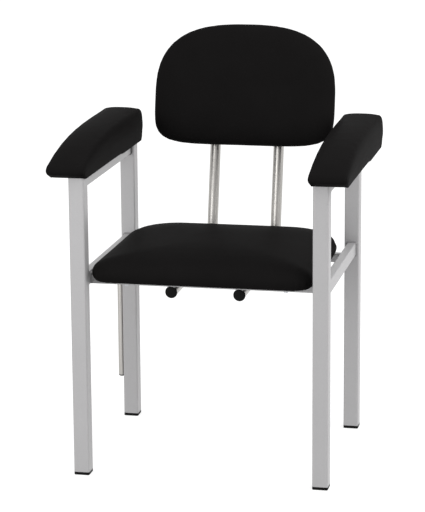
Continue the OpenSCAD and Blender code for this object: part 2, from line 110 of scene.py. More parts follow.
tree = world.node_tree
level = add_node(tree, "ShaderNodeMapRange", {"Value": seen["room"], "To Min": 0.86, "To Max": 1.0})
room = add_node(tree, "ShaderNodeBackground", {"Color": linear("#FFFFFF"), "Strength": level.outputs[0]})
add_node(tree, "ShaderNodeOutputWorld", {"Surface": room.outputs[0]})

tree = white_floor.node_tree
level = add_node(tree, "ShaderNodeMapRange", {"Value": seen["floor"], "To Max": 0.77})
glow = add_node(tree, "ShaderNodeEmission", {"Color": linear("#FFFFFF"), "Strength": level.outputs[0]})
matte = add_node(tree, "ShaderNodeBsdfDiffuse", {"Color": linear("#AAAAAA")})
both = add_node(tree, "ShaderNodeAddShader", {0: glow.outputs[0], 1: matte.outputs[0]})
add_node(tree, "ShaderNodeOutputMaterial", {"Surface": both.outputs[0]})

for name, place, aim, width, power in (
    ("side_lamp", (3.4, -0.4, 2.4), (0, 0, 0.5), 2.2, 62),
    ("front_lamp", (-1.9, -3.7, 0.9), (0, 0, 0.4), 2.4, 54),
):
    lamp = bpy.data.objects.new(name, bpy.data.lights.new(name, "AREA"))
    lamp.data.shape = "SQUARE"
    lamp.data.size = width
    lamp.data.energy = power
    lamp.location = place
    lamp.rotation_euler = (Vector(aim) - Vector(place)).to_track_quat("-Z", "Y").to_euler()
    scene.collection.objects.link(lamp)


# The frame: legs of 35 mm square steel tube with a welded cap on top, rails of
# 20 x 30 mm under the seat and the arm pads, and two cross rails of 20 mm. All
# is welded, ground where it shows, and powder coated in one silver grey.
def new_material(name):
    """A new material, its node tree, its Principled shader, and the object coordinates for its patterns.
    A pattern's scale is written as 1000 over its size in millimetres."""
    made = bpy.data.materials.new(name)
    made.use_nodes = True
    tree = made.node_tree
    return made, tree, tree.nodes["Principled BSDF"], add_node(tree, "ShaderNodeTexCoord").outputs["Object"]


# Polyester powder with a fine metal pigment, sprayed and baked. It flows out to
# a satin film with a faint orange peel of about 2 mm and hardly any colour change.
silver_coat, tree, shader, where = new_material("silver_grey_powder_coat")
cloud = add_node(tree, "ShaderNodeTexNoise", {"Vector": where, "Scale": 1000 / 90, "Detail": 3.0})
fleck = add_node(tree, "ShaderNodeTexNoise", {"Vector": where, "Scale": 1000 / 1.4, "Detail": 2.0})
tone = add_node(tree, "ShaderNodeMix", {0: cloud.outputs[0], 6: linear("#A7A6A7"), 7: linear("#B2B1B2")},
                data_type="RGBA")
tone = add_node(tree, "ShaderNodeMix", {0: fleck.outputs[0], 6: tone.outputs[2], 7: linear("#B8B7B8")},
                data_type="RGBA")
dulled = add_node(tree, "ShaderNodeMapRange", {"Value": fleck.outputs[0], "To Min": 0.36, "To Max": 0.46})
peel = add_node(tree, "ShaderNodeTexNoise", {"Vector": where, "Scale": 1000 / 2.2, "Detail": 1.0})
dent = add_node(tree, "ShaderNodeBump", {"Height": peel.outputs[0], "Strength": 0.25, "Distance": 0.0001})
tree.links.new(tone.outputs[2], shader.inputs["Base Color"])
tree.links.new(dulled.outputs[0], shader.inputs["Roughness"])
tree.links.new(dent.outputs[0], shader.inputs["Normal"])
shader.inputs["Metallic"].default_value = 0.15
for name in nodes:
    if name.startswith(("leg_", "side_rail_", "cross_rail_")) or name in ("arm_rail_left", "arm_rail_right"):
        nodes[name].data.materials[0] = silver_coat


# Weld beads: MIG fillets run round each rail's end where it meets a leg or
# another rail, and beside each bent tube where it lies under a cross rail.
# Their coat is drawn darker than the frame's, as painted shade for the shadow line round each joint.
weld_coat_with_painted_shade, tree, shader, where = new_material("weld_bead_coat_with_painted_shade")
# The bead's frozen ripples are about 1.5 mm apart
ripple = add_node(tree, "ShaderNodeTexNoise", {"Vector": where, "Scale": 1000 / 1.5, "Detail": 2.0})
# The bead's darker grey is painted shade for the joints' shadow line; the ripples only vary it
tone = add_node(tree, "ShaderNodeMix", {0: ripple.outputs[0], 6: linear("#7E7D7E"), 7: linear("#989798")},
                data_type="RGBA")
dent = add_node(tree, "ShaderNodeBump", {"Height": ripple.outputs[0], "Strength": 0.6, "Distance": 0.0002})
tree.links.new(tone.outputs[2], shader.inputs["Base Color"])
tree.links.new(dent.outputs[0], shader.inputs["Normal"])
shader.inputs["Roughness"].default_value = 0.48
shader.inputs["Metallic"].default_value = 0.15


def shown_piece(name, mesh, material):
    """Links a finished mesh as a piece of the chair."""
    piece = bpy.data.objects.new(name, mesh)
    scene.collection.objects.link(piece)
    piece.data.materials.clear()
    piece.data.materials.append(material)
    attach(piece, "root")
    return piece


def applied_mesh(piece):
    """The mesh of an object with its modifiers applied."""
    found = piece.evaluated_get(bpy.context.evaluated_depsgraph_get())
    return bpy.data.meshes.new_from_object(found)


def weld_beads(name, runs, radius):
    """Beads along runs, each a list of points and whether it closes on itself."""
    bead = bpy.data.curves.new(name, "CURVE")
    bead.dimensions = "3D"
    bead.bevel_depth = radius
    bead.bevel_resolution = 2
    bead.use_fill_caps = True
    for points, closed in runs:
        line = bead.splines.new("POLY")
        line.points.add(len(points) - 1)
        line.use_cyclic_u = closed
        for i, (point, target) in enumerate(zip(points, line.points)):
            target.co = (*point, 1)
            target.radius = 1 + 0.16 * math.sin(i * 2.1) + 0.1 * noise.noise(point * 90)
    holder = bpy.data.objects.new(name + "_curve", bead)
    scene.collection.objects.link(holder)
    bpy.context.view_layer.update()
    mesh = applied_mesh(holder)
    bpy.data.objects.remove(holder)
    for face in mesh.polygons:
        face.use_smooth = True
    shown_piece(name, mesh, weld_coat_with_painted_shade)


def straight_run(start, end, count):
    """A straight bead as weld_beads takes it, in so many steps."""
    return [Vector(start).lerp(Vector(end), i / count) for i in range(count + 1)], False


def round_run(half_u, half_v, corner, step=0.0013):
    """Points round a rounded rectangle about zero, evenly spaced."""
    bm = bmesh.new()
    bmesh.ops.create_grid(bm, x_segments=1, y_segments=1, size=1)
    bmesh.ops.scale(bm, vec=(half_u, half_v, 1), verts=bm.verts)
    bmesh.ops.bevel(bm, geom=bm.verts[:], affect="VERTICES", offset=corner, segments=4, profile=0.5)
    loop = [v.co.copy() for v in max(bm.faces, key=lambda f: f.calc_area()).verts]
    bm.free()
    points = []
    for a, b in zip(loop, loop[1:] + loop[:1]):
        count = max(1, round((b - a).length / step))
        points += [a.lerp(b, i / count) for i in range(count)]
    return points


bead_r = 0.0021
side_bead_r = 0.0027
tube_bead_r = 0.0019
# How far a bead's middle lies from both faces that it joins
bead_gap = 0.0006
# The corner that a bead's middle turns at a rail's rounded edge
bead_corner = 0.0028
runs = []
for side in ("left", "right"):
    low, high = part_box("side_rail_" + side)
    mid, half = (low + high) / 2, (high - low) / 2
    loop = round_run(half.x + bead_gap, half.z + bead_gap, bead_corner)
    for y in (low.y + bead_gap, high.y - bead_gap):
        runs.append(([Vector((mid.x + p.x, y, mid.z + p.y)) for p in loop], True))
weld_beads("weld_beads_side_rails", runs, side_bead_r)

runs = []
for side in ("left", "right"):
    low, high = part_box("arm_rail_" + side)
    mid, half = (low + high) / 2, (high - low) / 2
    # The pad's board lies on the rail, so the bead stops 3 mm below the rail's top
    loop = [p for p in round_run(half.x + bead_gap, half.z + bead_gap, bead_corner) if p.y < half.z - 0.003]
    start = max(range(len(loop)), key=lambda i: (loop[i] - loop[i - 1]).length)
    loop = loop[start:] + loop[:start]
    runs.append(([Vector((mid.x + p.x, low.y + bead_gap, mid.z + p.y)) for p in loop], False))
weld_beads("weld_beads_arm_rails", runs, bead_r)

# A straight bead on a cross rail stops this far short of the rail's corners
short = 0.001
runs = []
for place in ("front", "rear"):
    low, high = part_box("cross_rail_" + place)
    mid, half = (low + high) / 2, (high - low) / 2
    for x in (low.x + bead_gap, high.x - bead_gap):
        for lift in (half.z + bead_gap, -half.z - bead_gap):
            # The front rail's underside has none
            if lift > 0 or place == "rear":
                z = mid.z + lift * 0.985
                runs.append(straight_run((x, low.y + short, z), (x, high.y - short, z), 15))
        for y in (low.y - bead_gap * 0.5, high.y + bead_gap * 0.5):
            runs.append(straight_run((x, y, low.z + short), (x, y, high.z - short), 13))
weld_beads("weld_beads_cross_rails", runs, bead_r)

# The beads lie in the groove between a round tube and the flat rail above it
groove_x, groove_drop, groove_short = 0.0062, 0.0012, 0.0015
runs = []
tube_low, tube_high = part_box("back_tube_right")
for place in ("front", "rear"):
    low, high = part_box("cross_rail_" + place)
    z = low.z - groove_drop
    for side in (-1, 1):
        for flank in (-1, 1):
            x = side * (tube_low.x + tube_high.x) / 2 + flank * groove_x
            runs.append(straight_run((x, low.y + groove_short, z), (x, high.y - groove_short, z), 14))
weld_beads("weld_beads_back_tubes", runs, tube_bead_r)


# Feet and rail plugs: ribbed inserts of black polyethylene, pressed into the
# tubes' ends. Only the flange shows, with a soft moulded edge all round.
black_plastic, tree, shader, where = new_material("moulded_black_polyethylene")
# Mould texture of about 1 mm gives a dull, slightly waxy black
spark = add_node(tree, "ShaderNodeTexNoise", {"Vector": where, "Scale": 1000 / 1.0, "Detail": 2.0})
scuff = add_node(tree, "ShaderNodeTexNoise", {"Vector": where, "Scale": 1000 / 14, "Detail": 4.0})
tone = add_node(tree, "ShaderNodeMix", {0: scuff.outputs[0], 6: linear("#080808"), 7: linear("#131312")},
                data_type="RGBA")
dulled = add_node(tree, "ShaderNodeMapRange", {"Value": scuff.outputs[0], "To Min": 0.42, "To Max": 0.62})
dent = add_node(tree, "ShaderNodeBump", {"Height": spark.outputs[0], "Strength": 0.3, "Distance": 0.0001})
tree.links.new(tone.outputs[2], shader.inputs["Base Color"])
tree.links.new(dulled.outputs[0], shader.inputs["Roughness"])
tree.links.new(dent.outputs[0], shader.inputs["Normal"])
shader.inputs["Specular IOR Level"].default_value = 0.08


def finished_mesh(bm, name, sharp=35):
    """A bmesh as a mesh, smooth except at its sharp edges."""
    bmesh.ops.recalc_face_normals(bm, faces=bm.faces)
    for face in bm.faces:
        face.smooth = True
    for edge in bm.edges:
        edge.smooth = len(edge.link_faces) == 2 and edge.calc_face_angle() < math.radians(sharp)
    mesh = bpy.data.meshes.new(name)
    bm.to_mesh(mesh)
    bm.free()
    return mesh


def square_insert(half_u, half_v, corner, flange, stem, edge, step=0.0023):
    """A bmesh of an insert for a square tube: its flange below zero, its ribbed stem, set in by step, above."""
    bm = bmesh.new()
    bmesh.ops.create_cube(bm, size=2)
    bmesh.ops.scale(bm, vec=(half_u, half_v, flange / 2), verts=bm.verts)
    bmesh.ops.translate(bm, vec=(0, 0, -flange / 2), verts=bm.verts)
    upright = [e for e in bm.edges if abs(e.verts[0].co.z - e.verts[1].co.z) > 1e-4]
    bmesh.ops.bevel(bm, geom=upright, affect="EDGES", offset=corner, segments=5, profile=0.5, material=-1)
    top = max(bm.faces, key=lambda f: f.calc_center_median().z)
    bottom = min(bm.faces, key=lambda f: f.calc_center_median().z)
    bmesh.ops.bevel(bm, geom=bottom.edges[:], affect="EDGES", offset=edge, segments=4, profile=0.5, material=-1)
    bmesh.ops.inset_region(bm, faces=[top], thickness=step)
    ribs, rib_depth = 4, 0.0005
    for i in range(ribs):
        for rise, grow in ((0.35, 0), (0.15, -rib_depth), (0.35, 0), (0.15, rib_depth)):
            made = bmesh.ops.extrude_face_region(bm, geom=[top])
            bmesh.ops.delete(bm, geom=[top], context="FACES_ONLY")
            top = next(g for g in made["geom"] if isinstance(g, bmesh.types.BMFace))
            ring = top.verts[:]
            bmesh.ops.translate(bm, vec=(0, 0, stem / ribs * rise), verts=ring)
            bmesh.ops.scale(bm, vec=(1 + grow / half_u, 1 + grow / half_v, 1), verts=ring)
    return bm


for end in ("front_left", "front_right", "rear_left", "rear_right"):
    low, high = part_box("foot_" + end)
    top_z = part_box("leg_" + end)[0].z
    bm = square_insert((high.x - low.x) / 2, (high.y - low.y) / 2, corner=0.0035, flange=top_z,
                       stem=high.z - top_z, edge=0.0014)
    bmesh.ops.translate(bm, vec=((low.x + high.x) / 2, (low.y + high.y) / 2, top_z), verts=bm.verts)
    name = "foot_insert_" + end
    foot = shown_piece(name, finished_mesh(bm, name), black_plastic)
    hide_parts("foot_" + end)

# The flange stands proud of the rail at its sides and below, but not above, where the pad lies
proud = 0.0013
for side in ("left", "right"):
    low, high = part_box("arm_rail_plug_" + side)
    rail_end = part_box("arm_rail_" + side)[1].y
    bm = square_insert((high.x - low.x) / 2 + proud, (high.z - low.z + proud) / 2, corner=0.003,
                       flange=high.y - rail_end, stem=rail_end - low.y, edge=0.0008, step=0.0023 + proud)
    bmesh.ops.rotate(bm, matrix=Matrix.Rotation(math.pi / 2, 3, "X"), verts=bm.verts)
    bmesh.ops.translate(bm, vec=((low.x + high.x) / 2, rail_end, (low.z + high.z - proud) / 2), verts=bm.verts)
    name = "arm_rail_insert_" + side
    plug = shown_piece(name, finished_mesh(bm, name), black_plastic)
    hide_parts("arm_rail_plug_" + side)

# The bent back tubes: 25 mm tube bent on a round former, brushed along its
# length and chromed. They carry the back, and lie under both cross rails.
chrome, tree, shader, where = new_material("satin_chromed_tube")
# Chromium over a tube that was brushed along its length, whose fine lines it keeps
drawn = add_node(tree, "ShaderNodeMapping", {"Vector": where, "Scale": (1, 0.03, 0.03)})
lines = add_node(tree, "ShaderNodeTexNoise", {"Vector": drawn.outputs[0], "Scale": 1000 / 1.6, "Detail": 3.0})
haze = add_node(tree, "ShaderNodeTexNoise", {"Vector": where, "Scale": 1000 / 35, "Detail": 3.0})
tone = add_node(tree, "ShaderNodeMix", {0: lines.outputs[0], 6: linear("#A09E9B"), 7: linear("#BAB7B3")},
                data_type="RGBA")
dulled = add_node(tree, "ShaderNodeMapRange", {"Value": haze.outputs[0], "To Min": 0.27, "To Max": 0.36})
tree.links.new(tone.outputs[2], shader.inputs["Base Color"])
tree.links.new(dulled.outputs[0], shader.inputs["Roughness"])
shader.inputs["Metallic"].default_value = 1.0
for name in ("back_tube_left", "back_tube_right", "drip_socket_tube"):
    nodes[name].data.materials[0] = chrome


# Round inserts of the same black polyethylene close both ends of each bent
# tube and the lower end of the drip stand socket. Their faces are domed.
def round_insert(radius, bore, flange, stem):
    """A bmesh of a round insert whose domed face points down and whose stem stands on zero."""
    bm = bmesh.new()
    profile = [(0, -flange), (0.5, -0.96 * flange), (0.78, -0.82 * flange), (0.93, -0.55 * flange),
               (0.99, -0.25 * flange), (1, -0.1 * flange), (0.985, 0)]
    points = [Vector((r * radius, 0, z)) for r, z in profile]
    points += [Vector((x, 0, z)) for x, z in ((bore, 0), (bore, stem * 0.9), (bore * 0.92, stem), (0, stem))]
    line = [bm.verts.new(p) for p in points]
    edges = [bm.edges.new(pair) for pair in zip(line, line[1:])]
    bmesh.ops.spin(bm, geom=line + edges, cent=(0, 0, 0), axis=(0, 0, 1), angle=2 * math.pi, steps=40,
                   use_merge=True)
    bmesh.ops.remove_doubles(bm, verts=bm.verts, dist=1e-6)
    return bm


# How far the back leans, and how thick the tube's wall is with the play inside it
lean = math.radians(12.4)
tube_wall = 0.0017
tube_r = (tube_high.x - tube_low.x) / 2
tube_x = (tube_low.x + tube_high.x) / 2
# The middles of a bent tube's ends, the upper one from the tube's highest and rearmost points
front_end = Vector((0, tube_low.y, tube_low.z + tube_r))
top_end = Vector((0, tube_high.y - tube_r * math.cos(lean), tube_high.z - tube_r * math.sin(lean)))
for name, node, end, turned, rim in (
    ("back_tube_front_inserts", "back_tube_front_plugs", front_end, -math.pi / 2, 0.0013),
    ("back_tube_top_inserts", "back_tube_top_plugs", top_end, math.pi - lean, 0),
):
    bm = bmesh.new()
    for x in (-tube_x, tube_x):
        one = round_insert(tube_r + rim, tube_r - tube_wall, flange=0.003, stem=0.015)
        bmesh.ops.rotate(one, matrix=Matrix.Rotation(turned, 3, "X"), verts=one.verts)
        bmesh.ops.translate(one, vec=(x, end.y, end.z), verts=one.verts)
        spare = bpy.data.meshes.new("spare")
        one.to_mesh(spare)
        one.free()
        bm.from_mesh(spare)
        bpy.data.meshes.remove(spare)
    plug = shown_piece(name, finished_mesh(bm, name), black_plastic)
    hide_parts(node)

# The drip stand socket: a thin chromed tube tacked to the left rear leg, open
# at its top for a pole and closed by a plug below. Two pairs of short welds
# hold it, one weld on each side of the line where the tube meets the leg.
low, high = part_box("drip_socket_plug")
socket_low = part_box("drip_socket_tube")[0]
socket_r, socket_wall = (high.x - low.x) / 2, 0.0012
bm = round_insert(socket_r, socket_r - socket_wall, flange=socket_low.z - low.z, stem=high.z - socket_low.z)
bmesh.ops.translate(bm, vec=((low.x + high.x) / 2, (low.y + high.y) / 2, socket_low.z), verts=bm.verts)
plug = shown_piece("drip_socket_insert", finished_mesh(bm, "drip_socket_insert"), black_plastic)
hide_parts("drip_socket_plug")
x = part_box("leg_rear_left")[0].x - 0.0012
weld_length, weld_r, off_line = 0.025, 0.0017, 0.005
runs = []
for z in (0.14, 0.34):
    for flank in (-1, 1):
        y = (low.y + high.y) / 2 + flank * off_line
        runs.append(straight_run((x, y, z), (x, y, z + weld_length), 18))
weld_beads("weld_beads_drip_socket", runs, weld_r)

# Boards inside the pads: seven-ply birch, cut and left raw. They show only
# under the arm pads, where the rails carry them.
birch_ply, tree, shader, where = new_material("raw_birch_plywood")
# The face veneer's grain runs along the board in bands of 5 to 20 mm
drawn = add_node(tree, "ShaderNodeMapping", {"Vector": where, "Scale": (1, 0.06, 1)})
grain = add_node(tree, "ShaderNodeTexNoise",
                 {"Vector": drawn.outputs[0], "Scale": 1000 / 6, "Detail": 5.0, "Distortion": 0.6})
fibre = add_node(tree, "ShaderNodeTexNoise", {"Vector": drawn.outputs[0], "Scale": 1000 / 0.9, "Detail": 2.0})
tone = add_node(tree, "ShaderNodeMix", {0: grain.outputs[0], 6: linear("#B48E5C"), 7: linear("#DDBF90")},
                data_type="RGBA")
tone = add_node(tree, "ShaderNodeMix", {0: fibre.outputs[0], 6: tone.outputs[2], 7: linear("#C6A374")},
                data_type="RGBA")
dent = add_node(tree, "ShaderNodeBump", {"Height": fibre.outputs[0], "Strength": 0.4, "Distance": 0.0002})
tree.links.new(tone.outputs[2], shader.inputs["Base Color"])
tree.links.new(dent.outputs[0], shader.inputs["Normal"])
shader.inputs["Roughness"].default_value = 0.68
for name in ("seat_board", "back_board", "arm_board_left", "arm_board_right"):
    nodes[name].data.materials[0] = birch_ply

# Screws: pan heads with a hexagonal socket, zinc plated. Turning marks from
# the heading die show as an uneven tone and a varied shine.
zinc, tree, shader, where = new_material("zinc_plated_steel")
bloom = add_node(tree, "ShaderNodeTexNoise", {"Vector": where, "Scale": 1000 / 3, "Detail": 4.0})
tone = add_node(tree, "ShaderNodeMix", {0: bloom.outputs[0], 6: linear("#A3A7AD"), 7: linear("#C9CCCF")},
                data_type="RGBA")
dulled = add_node(tree, "ShaderNodeMapRange", {"Value": bloom.outputs[0], "To Min": 0.22, "To Max": 0.42})
tree.links.new(tone.outputs[2], shader.inputs["Base Color"])
tree.links.new(dulled.outputs[0], shader.inputs["Roughness"])
shader.inputs["Metallic"].default_value = 1.0
for name in ("arm_screws", "seat_screws", "back_screws"):
    nodes[name].data.materials[0] = zinc

# The seat cushion: a block of foam on its board, with one piece of black
# upholstery vinyl drawn over it and stapled underneath. The vinyl is gathered
# into small pleats round each corner.
vinyl, tree, shader, where = new_material("black_upholstery_vinyl")
# PVC on a knitted back, embossed with a leather grain. Its real cells are under
# a millimetre; they are drawn at 2 mm, so that a little of them shows.
cell = add_node(tree, "ShaderNodeTexVoronoi",
                {"Vector": where, "Scale": 1000 / 2.0, "Smoothness": 0.6, "Randomness": 0.95},
                feature="SMOOTH_F1")
pull = add_node(tree, "ShaderNodeTexNoise", {"Vector": where, "Scale": 1000 / 60, "Detail": 4.0})
tone = add_node(tree, "ShaderNodeMix", {0: pull.outputs[0], 6: linear("#171616"), 7: linear("#1B1A1A")},
                data_type="RGBA")
dulled = add_node(tree, "ShaderNodeMapRange", {"Value": pull.outputs[0], "To Min": 0.46, "To Max": 0.56})
dent = add_node(tree, "ShaderNodeBump", {"Height": cell.outputs[0], "Strength": 0.35, "Distance": 0.00025})
tree.links.new(tone.outputs[2], shader.inputs["Base Color"])
tree.links.new(dulled.outputs[0], shader.inputs["Roughness"])
tree.links.new(dent.outputs[0], shader.inputs["Normal"])
shader.inputs["Specular IOR Level"].default_value = 0.01
# The grain scatters the light that grazes the pads, which a low index of refraction stands for
shader.inputs["IOR"].default_value = 1.25


def pad_and_pocket(node, pocket_depth, to_flat):
    """A CAD pad laid flat by to_flat, as two closed bmeshes: its outside, and the pocket for its board."""
    bm = bmesh.new()
    bm.from_mesh(nodes[node].data)
    bmesh.ops.transform(bm, matrix=to_flat, verts=bm.verts)
    bmesh.ops.remove_doubles(bm, verts=bm.verts, dist=2e-5)
    bmesh.ops.recalc_face_normals(bm, faces=bm.faces)
    low, high = box_of(bm.verts)
    middle = (low + high) / 2
    inner = set()
    for face in bm.faces:
        at, facing = face.calc_center_median(), face.normal
        ceiling = facing.z < -0.9 and at.z > 1e-3
        wall = abs(facing.z) < 0.05 and facing.x * (at.x - middle.x) + facing.y * (at.y - middle.y) < 0
        if at.z < pocket_depth + 5e-4 and (ceiling or wall):
            inner.add(face.index)
    pocket = bm.copy()
    for shell, inside in ((bm, False), (pocket, True)):
        bmesh.ops.delete(shell, geom=[f for f in shell.faces if (f.index in inner) != inside], context="FACES")
        bmesh.ops.holes_fill(shell, edges=[e for e in shell.edges if e.is_boundary], sides=0)
        bmesh.ops.recalc_face_normals(shell, faces=shell.faces)
    return bm, pocket


def box_of(verts):
    """The lowest and highest corners of some vertices."""
    return [Vector([pick(v.co[i] for v in verts) for i in range(3)]) for pick in (min, max)]


def swell(bm, name, voxel, shrink, reach, rounds, top_rounds, firm):
    """Foam pushing its cover out: an even mesh of the pad, run as cloth with its underside held, limited in
    its travel, drawn smooth, and brought back to the pad's own size and, by the share firm, to its form."""
    low, high = box_of(bm.verts)
    foam = bvhtree.BVHTree.FromBMesh(bm)
    for v in bm.verts:
        if v.co.z > 1e-3:
            v.co -= v.normal * shrink * min(1, v.co.z / 0.04)
    mesh = bpy.data.meshes.new(name)
    bm.to_mesh(mesh)
    bm.free()
    body = bpy.data.objects.new(name, mesh)
    scene.collection.objects.link(body)
    remesh = body.modifiers.new("even", "REMESH")
    remesh.mode = "VOXEL"
    remesh.voxel_size = voxel
    even = applied_mesh(body)
    body.modifiers.clear()
    body.data = even
    start = [v.co.copy() for v in even.vertices]
    held = body.vertex_groups.new(name="held")
    held.add([i for i, co in enumerate(start) if co.z < 0.003], 1.0, "REPLACE")
    cloth = body.modifiers.new("cover", "CLOTH")
    last_frame = 14
    cloth.point_cache.frame_start = 1
    cloth.point_cache.frame_end = last_frame
    rules = cloth.settings
    rules.quality = 3
    rules.mass = 0.3
    rules.tension_stiffness = rules.compression_stiffness = 40
    rules.shear_stiffness = 20
    rules.bending_stiffness = 4
    rules.use_pressure = True
    rules.uniform_pressure_force = 4
    rules.effector_weights.gravity = 0
    rules.vertex_group_mass = "held"
    for step in range(1, last_frame + 1):
        scene.frame_set(step)
    moved = applied_mesh(body)
    body.modifiers.clear()
    for v, at in zip(moved.vertices, start):
        travel = v.co - at
        if travel.length > reach:
            v.co = at + travel * (reach / travel.length)
    body.data = moved
    scene.frame_set(1)
    taut = bmesh.new()
    taut.from_mesh(body.data)
    free = [v for v in taut.verts if v.co.z > 0.0015]
    for v in free:
        v.co = v.co.lerp(foam.find_nearest(v.co)[0], firm)
    for i in range(rounds):
        bmesh.ops.smooth_vert(taut, verts=free, factor=0.5, use_axis_x=True, use_axis_y=True, use_axis_z=True)
    taut.normal_update()
    crown = [v for v in taut.verts if v.normal.z > 0.86]
    for i in range(top_rounds):
        bmesh.ops.smooth_vert(taut, verts=crown, factor=0.5, use_axis_x=True, use_axis_y=True, use_axis_z=True)
    now_low, now_high = box_of(taut.verts)
    grow = [(high[i] - low[i]) / (now_high[i] - now_low[i]) for i in (0, 1)] + [high.z / now_high.z]
    for v in taut.verts:
        v.co = Vector([(v.co[i] - now_low[i]) * grow[i] + low[i] for i in (0, 1)] + [max(v.co.z, 0) * grow[2]])
    taut.to_mesh(body.data)
    taut.free()
    smooth = body.modifiers.new("smooth", "SUBSURF")
    smooth.levels = smooth.render_levels = 1
    done = applied_mesh(body)
    bpy.data.objects.remove(body)
    return done


def roll_under(mesh, hang, width, clear):
    """The cover's lower edge, which rolls a little below the board before it is stapled."""
    rise = 0.014
    rim = [v.co for v in mesh.vertices if 0.002 < v.co.z < 0.007]
    near = kdtree.KDTree(len(rim))
    for i, co in enumerate(rim):
        near.insert((co.x, co.y, 0), i)
    near.balance()
    for v in mesh.vertices:
        if v.co.z < rise:
            away = near.find((v.co.x, v.co.y, 0))[2]
            share = max(0, 1 - (away / width) ** 2) * (1 - v.co.z / rise) ** 1.5
            v.co.z -= hang * share * clear(v.co)


def covered_pad(name, node, pocket_depth, to_flat, voxel, shrink, reach, rounds, top_rounds, firm, hang, width,
                crease, clear):
    """One upholstered pad from its CAD node: swollen, rolled under, creased, and with the pocket for its board."""
    outside, pocket = pad_and_pocket(node, pocket_depth, to_flat)
    mesh = swell(outside, name, voxel, shrink, reach, rounds, top_rounds, firm)
    roll_under(mesh, hang, width, clear)
    for v in mesh.vertices:
        v.co += crease(v.co, v.normal)
    body = bpy.data.objects.new(name + "_body", mesh)
    tool = bpy.data.objects.new(name + "_tool", bpy.data.meshes.new(name + "_tool"))
    # The pocket's mouth is drawn down past the rolled edge, so that it cuts right through
    bmesh.ops.translate(pocket, vec=(0, 0, -0.008), verts=[v for v in pocket.verts if v.co.z < 5e-4])
    pocket.to_mesh(tool.data)
    pocket.free()
    for made in (body, tool):
        scene.collection.objects.link(made)
    cut = body.modifiers.new("pocket", "BOOLEAN")
    cut.operation = "DIFFERENCE"
    cut.solver = "FAST"
    cut.object = tool
    bpy.context.view_layer.update()
    bm = bmesh.new()
    bm.from_mesh(applied_mesh(body))
    for made in (body, tool):
        bpy.data.objects.remove(made)
    bmesh.ops.transform(bm, matrix=to_flat.inverted(), verts=bm.verts)
    pad = shown_piece(name, finished_mesh(bm, name, sharp=60), vinyl)
    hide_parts(node)


def fold(angle, centre, width):
    """How deep a pleat is at an angle from its own, from 0 to 1, with a soft lip on one side."""
    t = (angle - centre) / width
    return math.exp(-t * t * 4) - 0.4 * math.exp(-(t - 0.95) ** 2 * 3)


def pleat(at, normal, half, corner, angles, width, depth, top):
    """The move of a point at a rounded corner for pleats at angles, deepest low down, gone at the height top."""
    dx, dy = abs(at.x) - (half.x - corner), abs(at.y) - (half.y - corner)
    if dx <= 0 or dy <= 0 or at.z < 0.002 or at.z > top:
        return Vector()
    angle = math.degrees(math.atan2(dy, dx))
    fade = min(1, (top - at.z) / (0.6 * top)) * min(1, math.hypot(dx, dy) / (0.6 * corner))
    return Vector((normal.x, normal.y, 0)) * (-depth * fade * sum(fold(angle, a, width) for a in angles))


seat_low, seat_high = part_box("seat_cushion")
seat_mid, seat_half = (seat_low + seat_high) / 2, (seat_high - seat_low) / 2
seat_flat = Matrix.Translation((0, -seat_mid.y, -seat_low.z))
cross_rails = [
    (low.y + high.y) / 2 - seat_mid.y for low, high in map(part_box, ("cross_rail_front", "cross_rail_rear"))
]


def off_cross_rails(at):
    """From 0 over a cross rail to 1 well away from both."""
    return min(1, max(0, min(abs(at.y - y) for y in cross_rails) / 0.012 - 1))


def seat_crease(at, normal):
    """Wide pleats round the rear corners, which reach halfway up, and small ones round the front corners."""
    if at.y > 0:
        return pleat(at, normal, seat_half, corner=0.112, angles=(17, 39, 61, 79), width=11, depth=0.0036,
                     top=0.058)
    return pleat(at, normal, seat_half, corner=0.048, angles=(16, 37, 58, 76), width=9, depth=0.0015, top=0.03)


covered_pad(
    "seat_pad", "seat_cushion", pocket_depth=0.0163, to_flat=seat_flat, voxel=0.006, shrink=0.0015, reach=0.004,
    rounds=4, top_rounds=6, firm=0.85, hang=0.0025, width=0.006,
    crease=seat_crease, clear=off_cross_rails,
)

# The back cushion: thicker foam on a board of its own, in the same vinyl,
# drawn smooth over the front and gathered behind round its rounded corners.

# Where the tubes' leaning line meets the line that they run in under the seat,
# and how far up the leaning line the lower edge of the back cushion lies
tube_foot = Vector((0, 0.21439, 0.4125))
along = 0.25028
# From the back's leaning plane to flat: X to the side, Y up the back and Z forward
back_flat = (
    Matrix.Translation((0, -along, -tube_r))
    @ Matrix.Rotation(-(math.pi / 2 - lean), 4, "X")
    @ Matrix.Translation(-tube_foot)
)


def off_back_tubes(at):
    """0 over a bent tube, which ends 215 mm up the back, and 1 beside it."""
    return 0 if at.y < 0.215 and abs(abs(at.x) - tube_x) < 0.018 else 1


def back_crease(at, normal):
    """Small gathers behind the rounded edge, round the corners only, up to the height top."""
    top, middle, depth = 0.034, 0.145, 0.0013
    if at.z > top or at.z < 0.002:
        return Vector()
    angle = math.atan2(at.y - middle, at.x)
    fade = (1 - at.z / top) * math.sin(2 * angle) ** 2
    return Vector((normal.x, normal.y, 0)) * (-depth * fade * math.sin(angle * 44))


covered_pad(
    "back_pad", "back_cushion", pocket_depth=0.0133, to_flat=back_flat, voxel=0.006, shrink=0.0015, reach=0.004,
    rounds=4, top_rounds=6, firm=0.85, hang=0.002, width=0.009,
    crease=back_crease, clear=off_back_tubes,
)


# The arm pads: wedges of firm foam on boards, low at the nose and full at the
# rear, in the same vinyl, with two pleats at each corner underneath.
def off_nose(at):
    """From 0 at an arm pad's nose to 1 behind it."""
    return min(1, max(0, (at.y + arm_half.y) / 0.03 - 0.1))


def arm_crease(at, normal):
    """Two low pleats at each corner of an arm pad."""
    return pleat(at, normal, arm_half, corner=0.03, angles=(32, 62), width=9, depth=0.0016, top=0.024)


